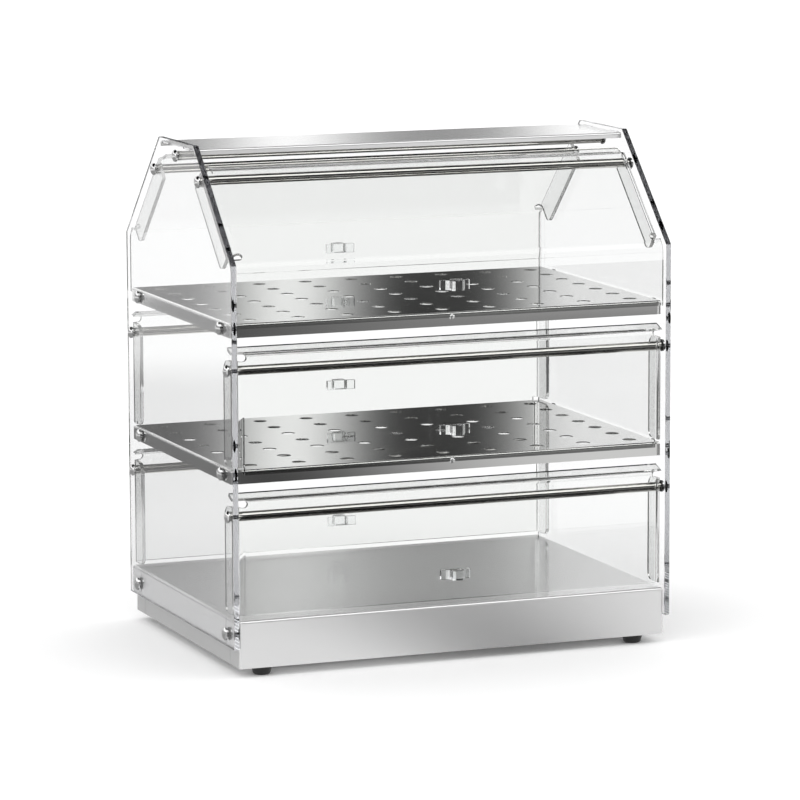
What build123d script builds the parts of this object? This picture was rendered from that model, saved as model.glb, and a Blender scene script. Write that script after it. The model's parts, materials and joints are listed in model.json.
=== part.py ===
from build123d import *
import math
import os

os.makedirs("parts", exist_ok=True)

# Frame: X to the right, Y to the rear, Z up, origin on the table under the middle of the case.
# All sizes are in millimetres. Front and rear are mirror images of each other.

# Overall case
case_width = 500.0
case_depth = 350.0
case_height = 550.0

# Clear side panels, house shaped
panel_thickness = 6.0
panel_bottom = 31.0
eave_height = 435.5
ridge_flat = 116.0
panel_edge_break = 0.4
panel_gap = 0.2

# Feet
foot_height = 10.0
foot_top_diameter = 23.0
foot_bottom_diameter = 18.0
foot_round = 3.0
foot_from_side = 30.0
foot_from_front = 16.0
foot_recess_depth = 4.5
foot_recess_clearance = 0.6

# Folded steel base, open underneath, with a lip turned in for the feet
base_height = 51.0
base_setback = 2.0
base_sheet = 1.5
base_bend = 3.0
base_lip = 34.0
base_seam_from_corner = 30.0
base_seam_width = 0.8
base_seam_depth = 0.9

# Folded steel shelves with round vent holes
lower_shelf_rise = 159.0
upper_shelf_rise = 154.0
shelf_sheet = 1.2
shelf_bend = 2.5
shelf_flange = 15.0
shelf_setback = 11.0
vent_diameter = 15.0
vent_pitch_x = 54.5
vent_pitch_y = 45.6
vent_columns = 9
vent_rows = 7
stud_diameter = 6.0
stud_drop = 5.0
stud_shank_diameter = 3.0
stud_door_gap = 0.3

# Roof plate with tabs that sit in slots of the side panels
roof_sheet = 1.5
roof_bend = 2.5
roof_lip = 6.0
roof_drop = 4.0
roof_end_setback = 1.0
tab_width = 20.0
tab_spacing = 70.0
tab_end_gap = 0.5
tab_clearance = 0.2

# Tie rods with a domed cap screw at each end
rod_diameter = 10.0
rod_inset = 15.5
rod_below_shelf = 49.5
rod_from_ridge = 36.5
rod_thread_depth = 14.0
cap_diameter = 13.0
cap_height = 4.5
cap_rim = 1.5
cap_shank_diameter = 5.0
cap_engagement = 10.0

# Domed screws and nuts that hold the base and the shelves to the panels
screw_head_diameter = 14.0
screw_head_height = 4.2
screw_head_rim = 1.5
screw_diameter = 5.0
screw_spare = 2.0
screw_clearance = 0.2
thread_clearance = 0.05
nut_across_flats = 8.0
nut_height = 4.0
base_screw_drop = 17.0
base_screw_from_edge = 27.0
shelf_screw_from_edge = 39.0

# Foot screws and nuts
foot_screw_diameter = 4.0
foot_screw_head_diameter = 8.0
foot_screw_head_height = 2.6
foot_nut_across_flats = 7.0
foot_nut_height = 3.2

# Clear flap doors
door_sheet = 4.0
door_bend = 4.0
door_rod_gap = 1.5
door_side_gap = 1.0
door_lap = 5.0
door_lap_margin = 0.5
base_door_gap = 5.0
ear_shelf_gap = 3.0
door_rod_clearance = 0.1
ear_depth = 30.0
ear_above_rod = 10.0
ear_corner_radius = 8.0
ear_crown_radius = 12.0
relief_height = 8.0
relief_depth = 11.0
flange_length = 18.0
flange_rise_angle = 19.0
top_door_bend = 12.0
top_ear_above_rod = 8.0
top_ear_from_eave = 21.0
top_flange_length = 12.0
top_flange_setback = 7.5

# Clear knob blocks bonded to the doors
knob_width = 33.0
knob_height = 10.0
knob_depth = 15.0
knob_foot_depth = 4.0
knob_grip_width = 14.0
knob_neck_radius = 4.0
knob_nose_radius = 3.0
knob_above_base = 33.0
knob_above_shelf = 30.0
upper_knob_share = 0.607
knob_bond = 0.05

# Heights and widths that follow from the sizes above
half_depth = case_depth / 2
inner_width = case_width - 2 * panel_thickness
fitted_width = inner_width - 2 * panel_gap
base_top = foot_height + base_height
lower_shelf_top = base_top + lower_shelf_rise
upper_shelf_top = lower_shelf_top + upper_shelf_rise
shelf_tops = (lower_shelf_top, upper_shelf_top)
base_depth = case_depth - 2 * base_setback
shelf_depth = case_depth - 2 * shelf_setback
rod_radius = rod_diameter / 2
slope_run = (case_depth - ridge_flat) / 2
slope_rise = case_height - eave_height
slope_angle = math.degrees(math.atan2(slope_run, slope_rise))
top_ear_below_rod = math.hypot(slope_run, slope_rise) - rod_from_ridge - top_ear_from_eave
face_from_rod = rod_radius + door_rod_gap + door_sheet
door_face_inset = rod_inset - face_from_rod
door_width = inner_width - 2 * door_side_gap
ear_bend = door_bend + door_sheet
top_bend = top_door_bend + door_sheet
upright_top = eave_height - (door_face_inset + top_bend) * math.tan(math.radians(slope_angle / 2))

# Rod places in the front half, as (y, z)
lower_rod = (-half_depth + rod_inset, lower_shelf_top - rod_below_shelf)
middle_rod = (-half_depth + rod_inset, upper_shelf_top - rod_below_shelf)
down_slope = Vector(-math.sin(math.radians(slope_angle)), -math.cos(math.radians(slope_angle)))
into_case = Vector(-down_slope.Y, down_slope.X)
ridge_corner = Vector(-ridge_flat / 2, case_height)
upper_rod_point = ridge_corner + down_slope * rod_from_ridge + into_case * rod_inset
upper_rod = (upper_rod_point.X, upper_rod_point.Y)
roof_rod = (0.0, case_height - rod_inset)
front_rods = {"lower": lower_rod, "middle": middle_rod, "upper": upper_rod}

# Lower ends of the door sheets and middles of the knobs. The upper knob sits part of the way up the
# flat upright of its door, from the sheet's lower end to the bend.
sheet_ends = {
    "lower": base_top + base_door_gap,
    "middle": lower_shelf_top - door_lap,
    "upper": upper_shelf_top - door_lap,
}
knob_heights = {
    "lower": base_top + knob_above_base,
    "middle": lower_shelf_top + knob_above_shelf,
    "upper": sheet_ends["upper"] + upper_knob_share * (upright_top - sheet_ends["upper"]),
}
stud_height = shelf_setback - door_face_inset - door_sheet - stud_door_gap


def save(shape, name):
    """Writes one named piece."""
    shape.label = name
    export_step(shape, f"parts/{name}.step")


def save_group(shapes, name):
    """Writes like pieces, such as screws, as separate solids of one node."""
    save(Compound(children=list(shapes)), name)


def to_rear(shape):
    """The same shape on the other side of the case, front to rear."""
    return mirror(shape, about=Plane.XZ)


def along_x(shape, side):
    """Turns a shape built up +Z so that it points along X, outwards on the given side."""
    return Rot(0, 90 * side, 0) * shape


def cross_hole(diameter, y, z):
    """A cutter along X through both side walls at the given place."""
    return Pos(0, y, z) * Rot(0, 90, 0) * Cylinder(diameter / 2, 2 * case_width)


def bent_sheet(points, radii, thickness, side):
    """Cross-section of a bent sheet. The points follow one face, and the radii are those of that face."""
    face_line = FilletPolyline(points, radius=radii) if len(points) > 2 else Line(points)
    return make_face(offset(face_line, amount=thickness, side=side))


def domed_screw(head_diameter, head_height, rim, shank_diameter, shank_length):
    """A smooth domed head above Z 0 and a plain shank below it."""
    radius = head_diameter / 2
    dome = head_height - rim
    dome_radius = (radius**2 + dome**2) / (2 * dome)
    start = math.degrees(math.asin((dome_radius - dome) / dome_radius))
    outline = make_face(
        [
            Line((0, 0), (radius, 0)),
            Line((radius, 0), (radius, rim)),
            CenterArc((0, head_height - dome_radius), dome_radius, start, 90 - start),
            Line((0, head_height), (0, 0)),
        ]
    )
    head = revolve(Plane.XZ * outline, Axis.Z)
    return head + Pos(0, 0, -shank_length / 2) * Cylinder(shank_diameter / 2, shank_length)


def hex_nut(across_flats, height, shank_diameter):
    """A hexagonal nut from Z 0 down, with its bore just over the shank."""
    blank = extrude(RegularPolygon(across_flats / 2, 6, major_radius=False), -height)
    return blank - Cylinder(shank_diameter / 2 + thread_clearance, 4 * height)


def side_panel(side):
    """One clear side panel with polished edges, its rod, screw and tab holes."""
    outline = Polyline(
        (-half_depth, panel_bottom),
        (-half_depth, eave_height),
        (-ridge_flat / 2, case_height),
        (ridge_flat / 2, case_height),
        (half_depth, eave_height),
        (half_depth, panel_bottom),
        close=True,
    )
    panel = extrude(Plane.YZ * make_face(outline), panel_thickness)
    panel = chamfer(panel.faces().filter_by(Axis.X).edges(), panel_edge_break)
    hole = cap_shank_diameter + 2 * screw_clearance
    for y, z in front_rods.values():
        panel -= cross_hole(hole, y, z) + cross_hole(hole, -y, z)
    panel -= cross_hole(hole, *roof_rod)
    for y, z in screw_places():
        panel -= cross_hole(screw_diameter + 2 * screw_clearance, y, z)
    slot = Box(4 * panel_thickness, tab_width + 2 * tab_clearance, roof_sheet + 2 * tab_clearance)
    for y in (-tab_spacing / 2, tab_spacing / 2):
        panel -= Pos(0, y, case_height - roof_drop - roof_sheet / 2) * slot
    start = inner_width / 2 if side > 0 else -inner_width / 2 - panel_thickness
    return Pos(start, 0, 0) * panel


def base_screw_places():
    """(y, z) of the screws between the side panels and the base."""
    y = half_depth - base_screw_from_edge
    return [(-y, base_top - base_screw_drop), (y, base_top - base_screw_drop)]


def shelf_screw_places(tops):
    """(y, z) of the screws between the side panels and the shelves at the given heights."""
    y = half_depth - shelf_screw_from_edge
    return [(end * y, top - shelf_flange / 2) for top in tops for end in (-1, 1)]


def screw_places():
    """(y, z) of every screw in a side panel."""
    return base_screw_places() + shelf_screw_places(shelf_tops)


def folded_tray(depth, height, sheet, bend):
    """A sheet folded down on all four sides. Its top face is at Z 0."""
    outer = Pos(0, 0, -height / 2) * Box(fitted_width, depth, height)
    rounded = outer.edges().filter_by(Axis.Z) + outer.faces().sort_by(Axis.Z)[-1].edges()
    outer = fillet(rounded, bend)
    inner = Pos(0, 0, -height / 2 - sheet) * Box(fitted_width - 2 * sheet, depth - 2 * sheet, height)
    rounded = inner.edges().filter_by(Axis.Z) + inner.faces().sort_by(Axis.Z)[-1].edges()
    return outer - fillet(rounded, bend - sheet)


def base():
    """The folded base with its turned-in lip, side seams and holes."""
    tray = folded_tray(base_depth, base_height, base_sheet, base_bend)
    lip = Box(fitted_width - base_sheet, base_depth - base_sheet, base_sheet)
    lip -= Box(fitted_width - 2 * base_lip, base_depth - 2 * base_lip, 2 * base_sheet)
    body = Pos(0, 0, base_top) * (tray + Pos(0, 0, base_sheet / 2 - base_height) * lip)
    seam = Box(2 * base_seam_depth, base_seam_width, 2 * base_height)
    seam_y = base_depth / 2 - base_seam_from_corner
    for x in (-fitted_width / 2, fitted_width / 2):
        for y in (-seam_y, seam_y):
            body -= Pos(x, y, base_top) * seam
    for y, z in base_screw_places():
        body -= cross_hole(screw_diameter + 2 * screw_clearance, y, z)
    for x, y in foot_places():
        drill = Cylinder(foot_screw_diameter / 2 + screw_clearance, 4 * base_sheet)
        body -= Pos(x, y, foot_height) * drill
    return body


def foot_places():
    """(x, y) of the four feet."""
    x = fitted_width / 2 - foot_from_side
    y = base_depth / 2 - foot_from_front
    return [(sx * x, sy * y) for sy in (-1, 1) for sx in (-1, 1)]


def foot():
    """A tapered rubber foot with a rounded bottom and a recess for its screw."""
    top = foot_top_diameter / 2
    bottom = foot_bottom_diameter / 2
    cone = Pos(0, 0, foot_height / 2) * Cone(bottom, top, foot_height)
    cone = fillet(cone.edges().sort_by(Axis.Z)[0], foot_round)
    recess_radius = foot_screw_head_diameter / 2 + foot_recess_clearance
    cone -= Pos(0, 0, foot_recess_depth / 2) * Cylinder(recess_radius, foot_recess_depth)
    return cone - Cylinder(foot_screw_diameter / 2 + screw_clearance, 4 * foot_height)


def foot_screw():
    """A foot screw, its head up against the roof of the recess."""
    reach = foot_height - foot_recess_depth + base_sheet + foot_nut_height + screw_spare
    head = Cylinder(foot_screw_head_diameter / 2, foot_screw_head_height)
    head = chamfer(head.edges().sort_by(Axis.Z)[0], foot_screw_head_height / 3)
    head = Pos(0, 0, foot_recess_depth - foot_screw_head_height / 2) * head
    return head + Pos(0, 0, foot_recess_depth + reach / 2) * Cylinder(foot_screw_diameter / 2, reach)


def foot_nut():
    """The nut on top of the base's lip."""
    nut = hex_nut(foot_nut_across_flats, foot_nut_height, foot_screw_diameter)
    return Pos(0, 0, foot_height + base_sheet + foot_nut_height) * nut


def shelf(top):
    """A folded shelf with its grid of round vent holes."""
    tray = folded_tray(shelf_depth, shelf_flange, shelf_sheet, shelf_bend)
    grid = GridLocations(vent_pitch_x, vent_pitch_y, vent_columns, vent_rows)
    vents = [place * Circle(vent_diameter / 2) for place in grid]
    body = tray - extrude(Sketch() + vents, 2 * shelf_sheet, both=True)
    body = Pos(0, 0, top) * body
    stud_hole = Rot(90, 0, 0) * Cylinder(stud_shank_diameter / 2 + thread_clearance, 4 * shelf_sheet)
    body -= Pos(0, -shelf_depth / 2, top - stud_drop) * stud_hole
    for y, z in shelf_screw_places([top]):
        body -= cross_hole(screw_diameter + 2 * screw_clearance, y, z)
    return body


def shelf_stud(top):
    """The small domed stud in the middle of a shelf's front flange, which the door above rests on."""
    rivet = domed_screw(
        stud_diameter, stud_height, stud_height / 4, stud_shank_diameter, 3 * shelf_sheet
    )
    return Pos(0, -shelf_depth / 2, top - stud_drop) * Rot(90, 0, 0) * rivet


def roof_plate():
    """The roof plate, folded down at front and rear, with two tabs at each end."""
    depth = ridge_flat - 2 * roof_end_setback
    points = [(-depth / 2, -roof_lip), (-depth / 2, 0), (depth / 2, 0), (depth / 2, -roof_lip)]
    section = bent_sheet(points, [roof_bend, roof_bend], roof_sheet, Side.RIGHT)
    plate = extrude(Plane.YZ * section, fitted_width / 2, both=True)
    tab_length = fitted_width / 2 + panel_gap + panel_thickness - tab_end_gap
    tab = Box(2 * tab_length, tab_width, roof_sheet)
    for y in (-tab_spacing / 2, tab_spacing / 2):
        plate += Pos(0, y, -roof_sheet / 2) * tab
    return Pos(0, 0, case_height - roof_drop) * plate


def tie_rod(y, z):
    """A rod between the panels, bored at both ends for its cap screws."""
    rod = Cylinder(rod_radius, fitted_width)
    bore = Cylinder(cap_shank_diameter / 2 + thread_clearance, 2 * rod_thread_depth)
    for end in (-1, 1):
        rod -= Pos(0, 0, end * fitted_width / 2) * bore
    return Pos(0, y, z) * Rot(0, 90, 0) * rod


def cap_screws():
    """The domed cap screws on the outer ends of all rods."""
    shank = panel_thickness + panel_gap + cap_engagement
    cap = domed_screw(cap_diameter, cap_height, cap_rim, cap_shank_diameter, shank)
    places = [roof_rod]
    for y, z in front_rods.values():
        places += [(y, z), (-y, z)]
    return [
        Pos(side * case_width / 2, y, z) * along_x(cap, side) for y, z in places for side in (-1, 1)
    ]


def panel_screws(places, sheet):
    """The domed screws through both side panels at the given places."""
    shank = panel_thickness + panel_gap + sheet + nut_height + screw_spare
    screw = domed_screw(
        screw_head_diameter, screw_head_height, screw_head_rim, screw_diameter, shank
    )
    return [
        Pos(side * case_width / 2, y, z) * along_x(screw, side)
        for y, z in places
        for side in (-1, 1)
    ]


def panel_nuts(places, sheet):
    """The nuts on the inside of the folded walls."""
    nut = hex_nut(nut_across_flats, nut_height, screw_diameter)
    x = fitted_width / 2 - sheet
    return [
        Pos(side * x, y, z) * along_x(nut, side) for y, z in places for side in (-1, 1)
    ]


def ear_channel(low, high, crown):
    """The part of a door with its ears bent in, from low to high along the sheet.
    The frame is the door's own: the rod's axis is X, Y points into the case, Z runs up the sheet."""
    free_edge = ear_depth - face_from_rod
    points = [
        (-door_width / 2, free_edge),
        (-door_width / 2, -face_from_rod),
        (door_width / 2, -face_from_rod),
        (door_width / 2, free_edge),
    ]
    section = bent_sheet(points, [ear_bend, ear_bend], door_sheet, Side.LEFT)
    channel = Pos(0, 0, low) * extrude(section, high - low)
    corners = channel.edges().filter_by(Axis.X).group_by(Axis.Y)[-1]
    channel = fillet(corners.group_by(Axis.Z)[0], ear_corner_radius)
    if crown:
        corners = channel.edges().filter_by(Axis.X).group_by(Axis.Z)[-1].group_by(Axis.Y)[-1]
        channel = fillet(corners, ear_crown_radius)
    hole = Cylinder(rod_radius + door_rod_clearance, 2 * case_width)
    return channel - Rot(0, 90, 0) * hole


def relief_slots(centre):
    """Cutters for the round-ended relief slots at both side edges of a door sheet."""
    slot = Rot(90, 0, 0) * extrude(SlotOverall(2 * relief_depth, relief_height), 2 * door_sheet, both=True)
    cut = Pos(-door_width / 2, -face_from_rod, centre) * slot
    return cut + Pos(door_width / 2, -face_from_rod, centre) * slot


def flat_door(level):
    """A lower or middle front door, upright, with its inclined top flange. The middle door's sheet
    runs on below its ears and laps over the front of the shelf."""
    rod_y, rod_z = front_rods[level]
    sheet_end = sheet_ends[level] - rod_z
    ear_end = sheet_end if level == "lower" else lower_shelf_top + ear_shelf_gap - rod_z
    bend = ear_above_rod + relief_height
    rise = math.radians(flange_rise_angle)
    tip = (
        -face_from_rod + flange_length * math.cos(rise),
        bend + flange_length * math.sin(rise),
    )
    points = [(-face_from_rod, ear_above_rod), (-face_from_rod, bend), tip]
    section = bent_sheet(points, [ear_bend], door_sheet, Side.RIGHT)
    door = ear_channel(ear_end, ear_above_rod, True)
    door += extrude(Plane.YZ * section, door_width / 2, both=True)
    if ear_end > sheet_end:
        lap_setback = ear_bend + door_lap_margin
        lap = Box(door_width - 2 * lap_setback, door_sheet, ear_end - sheet_end)
        door += Pos(0, door_sheet / 2 - face_from_rod, (ear_end + sheet_end) / 2) * lap
    door -= relief_slots(ear_above_rod + relief_height / 2)
    return Pos(0, rod_y, rod_z) * door


def bent_door(level):
    """The upper front door: it follows the slope of the panels and then drops to the upper shelf."""
    rod_y, rod_z = front_rods[level]
    tilt = math.radians(slope_angle)
    up_slope = Vector(math.sin(tilt), math.cos(tilt))
    outward = Vector(-math.cos(tilt), math.sin(tilt))
    rise = math.radians(flange_rise_angle)
    start = outward * face_from_rod + up_slope * top_ear_above_rod
    flange_tip = start + Vector(math.cos(rise), math.sin(rise)) * top_flange_length
    wall_y = -half_depth + door_face_inset - rod_y
    eave = start - up_slope * ((start.X - wall_y) / up_slope.X)
    points = [
        (wall_y, sheet_ends[level] - rod_z),
        (wall_y, eave.Y),
        (start.X, start.Y),
        (flange_tip.X, flange_tip.Y),
    ]
    section = bent_sheet(points, [top_bend, ear_bend], door_sheet, Side.RIGHT)
    sheet = extrude(Plane.YZ * section, door_width / 2, both=True)
    tilted = Rot(-slope_angle, 0, 0)
    ear_length = top_ear_below_rod + top_ear_above_rod
    ear_middle = (top_ear_above_rod - top_ear_below_rod) / 2
    edge_cut = Pos(0, -face_from_rod, ear_middle) * Box(2 * ear_bend, 4 * door_sheet, ear_length)
    side_cut = Pos(0, 0, flange_length) * Box(2 * top_flange_setback, 4 * flange_length, 2 * flange_length)
    for side in (-1, 1):
        sheet -= tilted * Pos(side * door_width / 2, 0, 0) * (edge_cut + side_cut)
    ears = ear_channel(-top_ear_below_rod, top_ear_above_rod, False)
    ears -= Box(door_width - 2 * ear_bend, 4 * ear_depth, 4 * ear_length)
    door = sheet + tilted * ears
    door -= tilted * relief_slots(-top_ear_below_rod - relief_height / 2)
    return Pos(0, rod_y, rod_z) * door


def knob(level):
    """A knob block on the outer face of a front door's upright sheet."""
    half_foot = knob_width / 2
    half_grip = knob_grip_width / 2
    points = [
        (-half_foot, 0),
        (half_foot, 0),
        (half_foot, -knob_foot_depth),
        (half_grip, -knob_foot_depth),
        (half_grip, -knob_depth),
        (-half_grip, -knob_depth),
        (-half_grip, -knob_foot_depth),
        (-half_foot, -knob_foot_depth),
    ]
    outline = make_face(Polyline(points, close=True))
    nose = outline.vertices().group_by(Axis.Y)[0]
    outline = fillet(nose, knob_nose_radius)
    neck = outline.vertices().group_by(Axis.Y)[-2].sort_by(lambda corner: abs(corner.X))[:2]
    outline = fillet(neck, knob_neck_radius)
    block = extrude(outline, knob_height / 2, both=True)
    y = -half_depth + door_face_inset - knob_bond
    return Pos(0, y, knob_heights[level]) * block


save(side_panel(-1), "left_side_panel")
save(side_panel(1), "right_side_panel")
save(base(), "base_pan")
for place, spot in zip(("front_left", "front_right", "rear_left", "rear_right"), foot_places()):
    save(Pos(*spot) * foot(), f"{place}_foot")
save_group([Pos(*spot) * foot_screw() for spot in foot_places()], "foot_screws")
save_group([Pos(*spot) * foot_nut() for spot in foot_places()], "foot_nuts")
save(shelf(lower_shelf_top), "lower_shelf")
save(shelf(upper_shelf_top), "upper_shelf")
save_group([shelf_stud(top) for top in shelf_tops], "shelf_studs")
save(roof_plate(), "roof_plate")
save(tie_rod(*roof_rod), "roof_tie_rod")
save_group(cap_screws(), "rod_cap_screws")
save_group(panel_screws(base_screw_places(), base_sheet), "base_screws")
save_group(panel_nuts(base_screw_places(), base_sheet), "base_nuts")
save_group(panel_screws(shelf_screw_places(shelf_tops), shelf_sheet), "shelf_screws")
save_group(panel_nuts(shelf_screw_places(shelf_tops), shelf_sheet), "shelf_nuts")
for level, (rod_y, rod_z) in front_rods.items():
    make_door = bent_door if level == "upper" else flat_door
    front_door = make_door(level)
    front_knob = knob(level)
    save(tie_rod(rod_y, rod_z), f"front_{level}_door_rod")
    save(tie_rod(-rod_y, rod_z), f"rear_{level}_door_rod")
    save(front_door, f"front_{level}_door")
    save(to_rear(front_door), f"rear_{level}_door")
    save(front_knob, f"front_{level}_knob")
    save(to_rear(front_knob), f"rear_{level}_knob")
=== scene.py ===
import json
import math

import bpy
from mathutils import Matrix, Vector


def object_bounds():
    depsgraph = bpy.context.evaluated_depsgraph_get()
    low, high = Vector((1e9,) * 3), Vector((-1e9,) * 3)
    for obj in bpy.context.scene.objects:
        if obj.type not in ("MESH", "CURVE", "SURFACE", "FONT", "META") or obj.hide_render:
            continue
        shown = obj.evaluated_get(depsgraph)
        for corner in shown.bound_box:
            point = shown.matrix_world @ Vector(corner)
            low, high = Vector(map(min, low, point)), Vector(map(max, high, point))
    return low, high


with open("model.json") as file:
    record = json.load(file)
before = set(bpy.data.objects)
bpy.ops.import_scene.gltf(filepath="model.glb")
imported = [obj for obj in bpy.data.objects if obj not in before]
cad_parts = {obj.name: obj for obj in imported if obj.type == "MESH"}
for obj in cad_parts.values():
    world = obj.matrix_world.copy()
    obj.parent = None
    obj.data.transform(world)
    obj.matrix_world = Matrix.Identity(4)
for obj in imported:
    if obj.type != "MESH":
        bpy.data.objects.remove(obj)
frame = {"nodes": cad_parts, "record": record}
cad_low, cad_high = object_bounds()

# All sizes are in metres and all angles in degrees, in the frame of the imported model.

# Camera at the photograph's viewing angle
camera_place = Vector((-1.752, -4.481, 0.997))
camera_yaw = 21.415
camera_pitch = 8.749
camera_roll = -0.197
camera_lens_mm = 200.2
camera_sensor_mm = 36.0

# Studio
floor_radius = 60.0
floor_colour = (0.93, 0.93, 0.93)
room_light = 1.28
key_size = 2.4
key_place = Vector((-1.2, -1.0, 2.6))
key_power = 6.0

# What polished metal sees of the studio, as brightness. The lamp box's angles are measured in the
# plane across the rods, from the front over the top to the rear. The tops of the horizon and of the
# walls are heights above the floor, in degrees. The walls and the rear half start by the share of a
# direction that points to the rear.
lamp_box_low = 36.0
lamp_box_high = 73.0
lamp_box_bright = 1.7
dark_studio = 0.01
horizon_top = 14.0
wall_top = 26.0
soft_edge = 2.0
wall_bright = 1.3
wall_start = -0.8
wall_full = -0.5
front_half_end = -0.1
rear_half_start = 0.1
rear_stripe_period = 3.85
rear_stripe_middle = 21.9
front_stripe_period = 40.0
front_stripe_middle = 21.4
stripe_dark = 0.05
stripe_bright = 1.15

# What is mirrored of the floor in front, as brightness, by the distance from the case's middle. Steel
# in the open sees one level with a darker band, steel behind a sheet sees it dark near the case. A
# dark wedge lies over both, by the angle at an apex behind the case.
near_floor = 0.008
near_floor_reach = 1.15
far_floor = 0.25
far_floor_start = 1.45
open_floor = 0.72
floor_band = 0.25
floor_band_middle = 2.8
floor_band_half_width = 0.8
wedge_share = 0.1
wedge_apex = 0.6
wedge_middle = 6.0
wedge_half_width = 14.0

# What is mirrored of the floor at the rear. Behind a sheet it is bright near the case, then dark, and
# bright again far away, sooner on the right of a slanted line through the case than on its left.
front_floor_end = -0.2
rear_floor_start = -0.1
rear_floor = 0.34
rear_floor_reach = 1.9
rear_floor_far = 0.9
rear_floor_far_start = 2.4
inside_near = 0.95
inside_near_reach = 0.8
inside_middle = 0.12
inside_middle_start = 1.0
inside_far_fade = 0.3
left_far_start = 2.95
right_far_start = 2.0
slanted_line_turn = 21.415
left_side_end = -0.05
right_side_start = 0.1

# Light that a sheet guides to its edge is told by this many reflections
guided_reflections = 4.0

# Clear acrylic
acrylic_ior = 1.49
face_glare = 0.4
acrylic_edge_tint = (0.91, 0.92, 0.95)
# Painted shade: the panels' slanted edges are coloured near black where they look dark
slanted_edge_painted_shade = (0.03, 0.03, 0.033)
face_normal_limit = 0.5
slant_normal_limit = 0.3


def new_material(name):
    """An empty node material with its output node."""
    material = bpy.data.materials.new(name)
    material.use_nodes = True
    tree = material.node_tree
    tree.nodes.clear()
    output = tree.nodes.new("ShaderNodeOutputMaterial")
    return material, tree, output


def principled(tree, **values):
    """A Principled shader with the given values on its own sockets."""
    shader = tree.nodes.new("ShaderNodeBsdfPrincipled")
    for name, value in values.items():
        shader.inputs[name.replace("_", " ")].default_value = value
    return shader


def noise(tree, scale, detail, stretch=(1, 1, 1)):
    """Noise in the object's own space, stretched along its axes."""
    place = tree.nodes.new("ShaderNodeTexCoord")
    mapping = tree.nodes.new("ShaderNodeMapping")
    mapping.inputs["Scale"].default_value = stretch
    texture = tree.nodes.new("ShaderNodeTexNoise")
    texture.inputs["Scale"].default_value = scale
    texture.inputs["Detail"].default_value = detail
    tree.links.new(place.outputs["Object"], mapping.inputs["Vector"])
    tree.links.new(mapping.outputs["Vector"], texture.inputs["Vector"])
    return texture


def ranged(tree, source, low, high):
    """Spreads a 0 to 1 value between low and high."""
    spread = tree.nodes.new("ShaderNodeMapRange")
    spread.inputs["To Min"].default_value = low
    spread.inputs["To Max"].default_value = high
    tree.links.new(source, spread.inputs["Value"])
    return spread.outputs["Result"]


def bumped(tree, source, shader, strength, distance):
    """Feeds a height to a shader's normal."""
    bump = tree.nodes.new("ShaderNodeBump")
    bump.inputs["Strength"].default_value = strength
    bump.inputs["Distance"].default_value = distance
    tree.links.new(source, bump.inputs["Height"])
    tree.links.new(bump.outputs["Normal"], shader.inputs["Normal"])


def tint_where(tree, mask, tint, colour):
    """Mixes a tint over a colour where the mask is 1."""
    mix = tree.nodes.new("ShaderNodeMix")
    mix.data_type = "RGBA"
    tree.links.new(mask, mix.inputs["Factor"])
    mix.inputs["B"].default_value = (*tint, 1)
    if isinstance(colour, tuple):
        mix.inputs["A"].default_value = (*colour, 1)
    else:
        tree.links.new(colour, mix.inputs["A"])
    return mix.outputs["Result"]


def panel_tint_and_painted_shade(tree, colour):
    """The colour of a side panel: clear faces, faintly tinted edges, and painted shade, near black, on
    the slanted edges.
    """
    place = tree.nodes.new("ShaderNodeTexCoord")
    parts = tree.nodes.new("ShaderNodeSeparateXYZ")
    tree.links.new(place.outputs["Normal"], parts.inputs["Vector"])
    across, along, up = (value_math(tree, "ABSOLUTE", parts.outputs[axis]) for axis in "XYZ")
    edge = value_math(tree, "LESS_THAN", across, face_normal_limit)
    lesser = value_math(tree, "MINIMUM", along, up)
    slanted = value_math(tree, "GREATER_THAN", lesser, slant_normal_limit)
    edged = tint_where(tree, edge, acrylic_edge_tint, colour)
    # Painted shade: the slanted edges get a near-black colour
    return tint_where(tree, slanted, slanted_edge_painted_shade, edged)


def clear_acrylic(name, colour, tint=None):
    """Cast acrylic that lets the lamps' light through. A tint makes its colour vary over the piece; the
    panels' tint also holds painted shade on their slanted edges.
    """
    material, tree, output = new_material(name)
    shader = principled(
        tree,
        Base_Color=(*colour, 1),
        Roughness=0.0,
        IOR=acrylic_ior,
        Specular_Tint=(face_glare, face_glare, face_glare, 1),
        Transmission_Weight=1.0,
    )
    if tint:
        tree.links.new(tint(tree, colour), shader.inputs["Base Color"])
    through = tree.nodes.new("ShaderNodeBsdfTransparent")
    through.inputs["Color"].default_value = (*colour, 1)
    path = tree.nodes.new("ShaderNodeLightPath")
    mix = tree.nodes.new("ShaderNodeMixShader")
    tree.links.new(path.outputs["Is Shadow Ray"], mix.inputs["Fac"])
    tree.links.new(shader.outputs["BSDF"], mix.inputs[1])
    tree.links.new(through.outputs["BSDF"], mix.inputs[2])
    tree.links.new(mix.outputs["Shader"], output.inputs["Surface"])
    return material


def satin_steel():
    """Stainless sheet with a fine satin grain along its length."""
    material, tree, output = new_material("satin_steel")
    shader = principled(tree, Base_Color=(0.84, 0.84, 0.84, 1), Metallic=0.7, Coat_Weight=0.3)
    grain = noise(tree, scale=1800.0, detail=3.0, stretch=(0.02, 1.0, 1.0)).outputs["Fac"]
    tree.links.new(ranged(tree, grain, low=0.18, high=0.28), shader.inputs["Roughness"])
    bumped(tree, grain, shader, strength=0.009, distance=0.0002)
    tree.links.new(shader.outputs["BSDF"], output.inputs["Surface"])
    return material


def polished_steel(name, colour, roughness, waviness=0.0, metallic=1.0):
    """Polished stainless. Sheet also has the slight waviness of rolling."""
    material, tree, output = new_material(name)
    shader = principled(tree, Base_Color=(*colour, 1), Metallic=metallic, Roughness=roughness)
    wave = noise(tree, scale=9.0, detail=1.0).outputs["Fac"]
    bumped(tree, wave, shader, strength=waviness, distance=0.001)
    tree.links.new(shader.outputs["BSDF"], output.inputs["Surface"])
    return material


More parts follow.
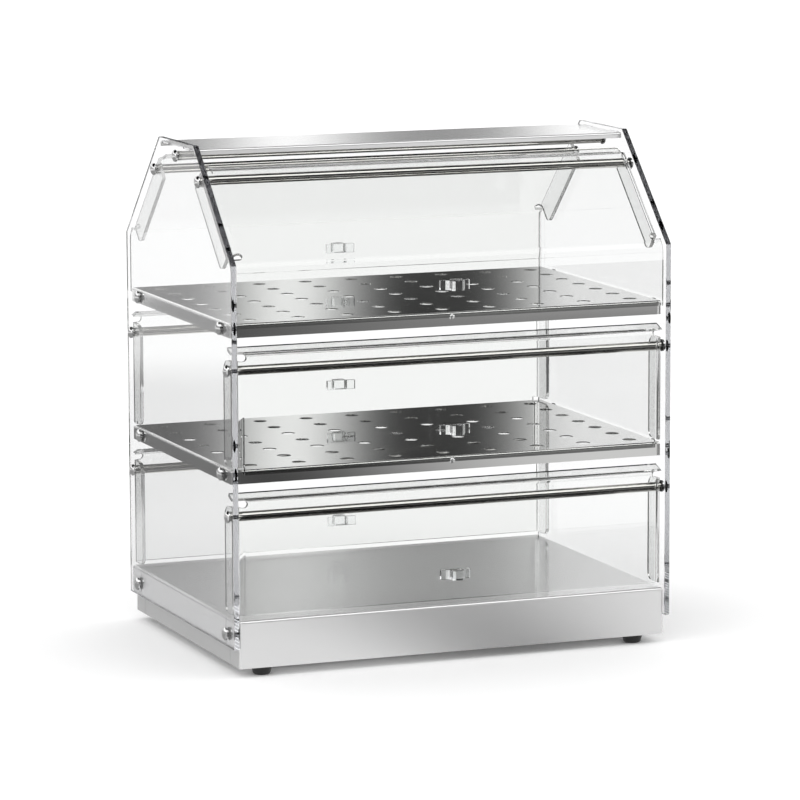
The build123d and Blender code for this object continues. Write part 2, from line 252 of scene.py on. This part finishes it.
def foot_rubber():
    """Moulded black rubber."""
    material, tree, output = new_material("foot_rubber")
    shader = principled(tree, Base_Color=(0.012, 0.012, 0.012, 1))
    grain = noise(tree, scale=1500.0, detail=2.0).outputs["Fac"]
    tree.links.new(ranged(tree, grain, low=0.38, high=0.55), shader.inputs["Roughness"])
    bumped(tree, grain, shader, strength=0.1, distance=0.0002)
    tree.links.new(shader.outputs["BSDF"], output.inputs["Surface"])
    return material


def dress_nodes():
    """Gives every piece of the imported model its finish, by its material slot."""
    finishes = {
        # The panels' colour holds painted shade on their slanted edges
        "panel_acrylic": clear_acrylic("panel_acrylic", (0.99, 0.99, 0.995), panel_tint_and_painted_shade),
        "door_acrylic": clear_acrylic("door_acrylic", (0.89, 0.895, 0.89)),
        "knob_acrylic": clear_acrylic("knob_acrylic", (0.97, 0.98, 0.98)),
        "satin_steel": satin_steel(),
        "polished_steel": polished_steel("polished_steel", (0.80, 0.80, 0.79), 0.05, waviness=0.05),
        "hazy_steel": polished_steel("hazy_steel", (0.86, 0.86, 0.86), 0.18, 0.02, metallic=0.7),
        "rod_steel": polished_steel("rod_steel", (0.82, 0.81, 0.78), 0.05),
        "fastener_steel": polished_steel("fastener_steel", (0.78, 0.78, 0.78), 0.04),
        "foot_rubber": foot_rubber(),
    }
    for entry in frame["record"]["subparts"]:
        node = frame["nodes"][entry["node"]]
        node.data.materials.clear()
        node.data.materials.append(finishes[entry["material_slot"]])


def value_math(tree, operation, *values):
    """One maths node. Each input is a number or a socket."""
    node = tree.nodes.new("ShaderNodeMath")
    node.operation = operation
    for index, value in enumerate(values):
        if isinstance(value, (int, float)):
            node.inputs[index].default_value = value
        else:
            tree.links.new(value, node.inputs[index])
    return node.outputs["Value"]


def smooth_step(tree, value, start, end, low, high):
    """A value that goes smoothly from low to high between start and end."""
    step = tree.nodes.new("ShaderNodeMapRange")
    step.interpolation_type = "SMOOTHSTEP"
    step.inputs["From Min"].default_value = start
    step.inputs["From Max"].default_value = end
    for name, bound in (("To Min", low), ("To Max", high)):
        if isinstance(bound, (int, float)):
            step.inputs[name].default_value = bound
        else:
            tree.links.new(bound, step.inputs[name])
    tree.links.new(value, step.inputs["Value"])
    return step.outputs["Result"]


def mirrored_share(tree):
    """1 for light that bounced off something glossy, 0 for what is seen directly or through acrylic."""
    path = tree.nodes.new("ShaderNodeLightPath")
    return value_math(tree, "MINIMUM", path.outputs["Glossy Depth"], 1.0)


def unguided_share(tree):
    """0 for light that was guided along one sheet by many reflections, 1 for all other light."""
    path = tree.nodes.new("ShaderNodeLightPath")
    one_sheet = value_math(tree, "COMPARE", path.outputs["Transmission Depth"], 2.0, 0.5)
    many = value_math(tree, "GREATER_THAN", path.outputs["Glossy Depth"], guided_reflections)
    return value_math(tree, "SUBTRACT", 1.0, value_math(tree, "MULTIPLY", one_sheet, many))


def stripe_wave(tree, sideways, along, period, middle):
    """1 in the middle of a stripe and 0 between stripes, by the angle away from straight along. The
    stripe at the given middle is the last one to the right."""
    angle = value_math(tree, "ARCTAN2", sideways, along)
    angle = value_math(tree, "MINIMUM", angle, math.radians(middle + period / 2))
    turns = value_math(tree, "MULTIPLY", angle, 360 / period)
    phase = value_math(tree, "SUBTRACT", turns, 2 * math.pi * middle / period)
    cosine = value_math(tree, "COSINE", phase)
    return value_math(tree, "MULTIPLY_ADD", cosine, 0.5, 0.5)


def soft_border(tree, angle, border, below, above):
    """One value below an angle and another above it, with a soft edge between them."""
    return smooth_step(tree, angle, border - soft_edge, border + soft_edge, below, above)


def horizon_stripes(tree, sideways, forward, rearward):
    """Dark stripes along the horizon: narrow ones at the rear and one broad one in front."""
    rear = stripe_wave(tree, sideways, rearward, rear_stripe_period, rear_stripe_middle)
    front = stripe_wave(tree, sideways, forward, front_stripe_period, front_stripe_middle)
    gap = value_math(tree, "SUBTRACT", 1.0, rear)
    rear = value_math(tree, "SUBTRACT", 1.0, value_math(tree, "MULTIPLY", gap, gap))
    wave = smooth_step(tree, rearward, front_half_end, rear_half_start, front, rear)
    return ranged(tree, wave, stripe_bright, stripe_dark)


def studio_room():
    """A white room. In reflections it has a lamp box above a dark front, bright walls at the sides and
    rear, and stripes of dark and bright along the horizon."""
    world = bpy.data.worlds.new("studio_room")
    bpy.context.scene.world = world
    world.use_nodes = True
    world.cycles.sampling_method = "NONE"
    tree = world.node_tree
    tree.nodes.clear()
    place = tree.nodes.new("ShaderNodeTexCoord")
    parts = tree.nodes.new("ShaderNodeSeparateXYZ")
    tree.links.new(place.outputs["Generated"], parts.inputs["Vector"])
    sideways, rearward, upward = (parts.outputs[axis] for axis in "XYZ")
    forward = value_math(tree, "MULTIPLY", rearward, -1.0)
    turn = value_math(tree, "ARCTAN2", upward, forward)
    over = value_math(tree, "MULTIPLY", turn, math.degrees(1))
    elevation = value_math(tree, "MULTIPLY", value_math(tree, "ARCSINE", upward), math.degrees(1))
    horizon = horizon_stripes(tree, sideways, forward, rearward)
    box = soft_border(tree, over, lamp_box_low, dark_studio, lamp_box_bright)
    box = soft_border(tree, over, lamp_box_high, box, dark_studio)
    wall = smooth_step(tree, rearward, wall_start, wall_full, dark_studio, wall_bright)
    above = value_math(tree, "MAXIMUM", soft_border(tree, elevation, wall_top, wall, dark_studio), box)
    seen = soft_border(tree, elevation, horizon_top, horizon, above)
    share = mirrored_share(tree)
    direct = value_math(tree, "MULTIPLY", value_math(tree, "SUBTRACT", 1.0, share), room_light)
    mirrored = value_math(tree, "MULTIPLY", share, seen)
    background = tree.nodes.new("ShaderNodeBackground")
    background.inputs["Color"].default_value = (1, 1, 1, 1)
    output = tree.nodes.new("ShaderNodeOutputWorld")
    tree.links.new(value_math(tree, "ADD", direct, mirrored), background.inputs["Strength"])
    tree.links.new(background.outputs["Background"], output.inputs["Surface"])


def front_floor_light(tree, rightward, rearward, distance, sheets):
    """The floor in front as it is mirrored: a dark wedge, over a band for steel in the open or over a
    dark middle for steel behind a sheet."""
    forward = value_math(tree, "MULTIPLY", rearward, -1.0)
    from_apex = value_math(tree, "ADD", forward, wedge_apex)
    angle = value_math(tree, "ARCTAN2", rightward, from_apex)
    angle = value_math(tree, "SUBTRACT", angle, math.radians(wedge_middle))
    off_wedge = value_math(tree, "ABSOLUTE", angle)
    wedge = smooth_step(tree, off_wedge, 0.0, math.radians(wedge_half_width), wedge_share, 1.0)
    off_band = value_math(tree, "ABSOLUTE", value_math(tree, "SUBTRACT", distance, floor_band_middle))
    outside = smooth_step(tree, off_band, 0.0, floor_band_half_width, floor_band, open_floor)
    inside = smooth_step(tree, distance, near_floor_reach, far_floor_start, near_floor, far_floor)
    level = smooth_step(tree, sheets, 0.0, 1.0, outside, inside)
    return value_math(tree, "MULTIPLY", level, wedge)


def rear_floor_light(tree, rightward, rearward, distance, sheets):
    """The floor at the rear as it is mirrored: brighter far away. Where more than two faces of clear
    sheets were passed, it is bright near the case, dark around that and bright again far away."""
    slant = math.radians(slanted_line_turn)
    across = value_math(tree, "MULTIPLY", rightward, math.cos(slant))
    across = value_math(tree, "MULTIPLY_ADD", rearward, math.sin(slant), across)
    sides = (left_side_end, right_side_start, left_far_start, right_far_start)
    far_start = smooth_step(tree, across, *sides)
    beyond = value_math(tree, "SUBTRACT", distance, far_start)
    rings = (inside_near_reach, inside_middle_start, inside_near, inside_middle)
    inside = smooth_step(tree, distance, *rings)
    inside = smooth_step(tree, beyond, 0.0, inside_far_fade, inside, rear_floor_far)
    rings = (rear_floor_reach, rear_floor_far_start, rear_floor, rear_floor_far)
    outside = smooth_step(tree, distance, *rings)
    return smooth_step(tree, sheets, 2.0, 3.0, outside, inside)


def mirrored_floor_light(tree):
    """How bright the floor looks in metal and in glossy faces, by the place on it and by how many faces
    of clear sheets the light went through."""
    place = tree.nodes.new("ShaderNodeTexCoord")
    parts = tree.nodes.new("ShaderNodeSeparateXYZ")
    tree.links.new(place.outputs["Object"], parts.inputs["Vector"])
    length = tree.nodes.new("ShaderNodeVectorMath")
    length.operation = "LENGTH"
    tree.links.new(place.outputs["Object"], length.inputs[0])
    path = tree.nodes.new("ShaderNodeLightPath")
    rightward, rearward = (parts.outputs[axis] for axis in "XY")
    sheets = path.outputs["Transmission Depth"]
    seen = (rightward, rearward, length.outputs["Value"], sheets)
    front = front_floor_light(tree, *seen)
    rear = rear_floor_light(tree, *seen)
    return smooth_step(tree, rearward, front_floor_end, rear_floor_start, front, rear)


def floor_material():
    """A pale floor, with a pattern of dark and bright that shows in reflections only."""
    material, tree, output = new_material("studio_floor")
    pale = tree.nodes.new("ShaderNodeBsdfDiffuse")
    pale.inputs["Color"].default_value = (*floor_colour, 1)
    emission = tree.nodes.new("ShaderNodeEmission")
    tree.links.new(mirrored_floor_light(tree), emission.inputs["Strength"])
    mix = tree.nodes.new("ShaderNodeMixShader")
    share = value_math(tree, "MULTIPLY", mirrored_share(tree), unguided_share(tree))
    tree.links.new(share, mix.inputs["Fac"])
    tree.links.new(pale.outputs["BSDF"], mix.inputs[1])
    tree.links.new(emission.outputs["Emission"], mix.inputs[2])
    tree.links.new(mix.outputs["Shader"], output.inputs["Surface"])
    material.cycles.emission_sampling = "NONE"
    return material


def studio_floor():
    """A wide floor that reaches the horizon."""
    mesh = bpy.data.meshes.new("studio_floor")
    corners = [(-1, -1), (1, -1), (1, 1), (-1, 1)]
    points = [(x * floor_radius, y * floor_radius, 0) for x, y in corners]
    mesh.from_pydata(points, [], [(0, 1, 2, 3)])
    mesh.materials.append(floor_material())
    floor = bpy.data.objects.new("studio_floor", mesh)
    bpy.context.scene.collection.objects.link(floor)


def key_light():
    """A large soft lamp above the front left."""
    lamp = bpy.data.lights.new("key_light", "AREA")
    lamp.shape = "DISK"
    lamp.size = key_size
    lamp.energy = key_power
    holder = bpy.data.objects.new("key_light", lamp)
    holder.location = key_place
    aim = (cad_low + cad_high) / 2 - key_place
    holder.rotation_euler = aim.to_track_quat("-Z", "Y").to_euler()
    bpy.context.scene.collection.objects.link(holder)


def photo_camera():
    """The camera at the photograph's place and angle."""
    yaw, pitch, roll = (math.radians(a) for a in (camera_yaw, camera_pitch, camera_roll))
    forward = Vector(
        (math.sin(yaw) * math.cos(pitch), math.cos(yaw) * math.cos(pitch), -math.sin(pitch))
    )
    level = Vector((math.cos(yaw), -math.sin(yaw), 0))
    upright = level.cross(forward)
    right = math.cos(roll) * level + math.sin(roll) * upright
    up = -math.sin(roll) * level + math.cos(roll) * upright
    data = bpy.data.cameras.new("photo_camera")
    data.lens = camera_lens_mm
    data.sensor_width = camera_sensor_mm
    data.clip_end = 4 * floor_radius
    camera = bpy.data.objects.new("photo_camera", data)
    turn = Matrix((right, up, -forward)).transposed().to_4x4()
    camera.matrix_world = Matrix.Translation(camera_place) @ turn
    bpy.context.scene.collection.objects.link(camera)
    bpy.context.scene.camera = camera


def light_paths():
    """Enough bounces for many sheets one behind the other, and for light guided along a sheet."""
    cycles = bpy.context.scene.cycles
    cycles.max_bounces = 96
    cycles.transmission_bounces = 32
    cycles.glossy_bounces = 96
    cycles.transparent_max_bounces = 32
    bpy.context.scene.view_settings.view_transform = "Standard"


dress_nodes()
studio_room()
studio_floor()
key_light()
photo_camera()
light_paths()
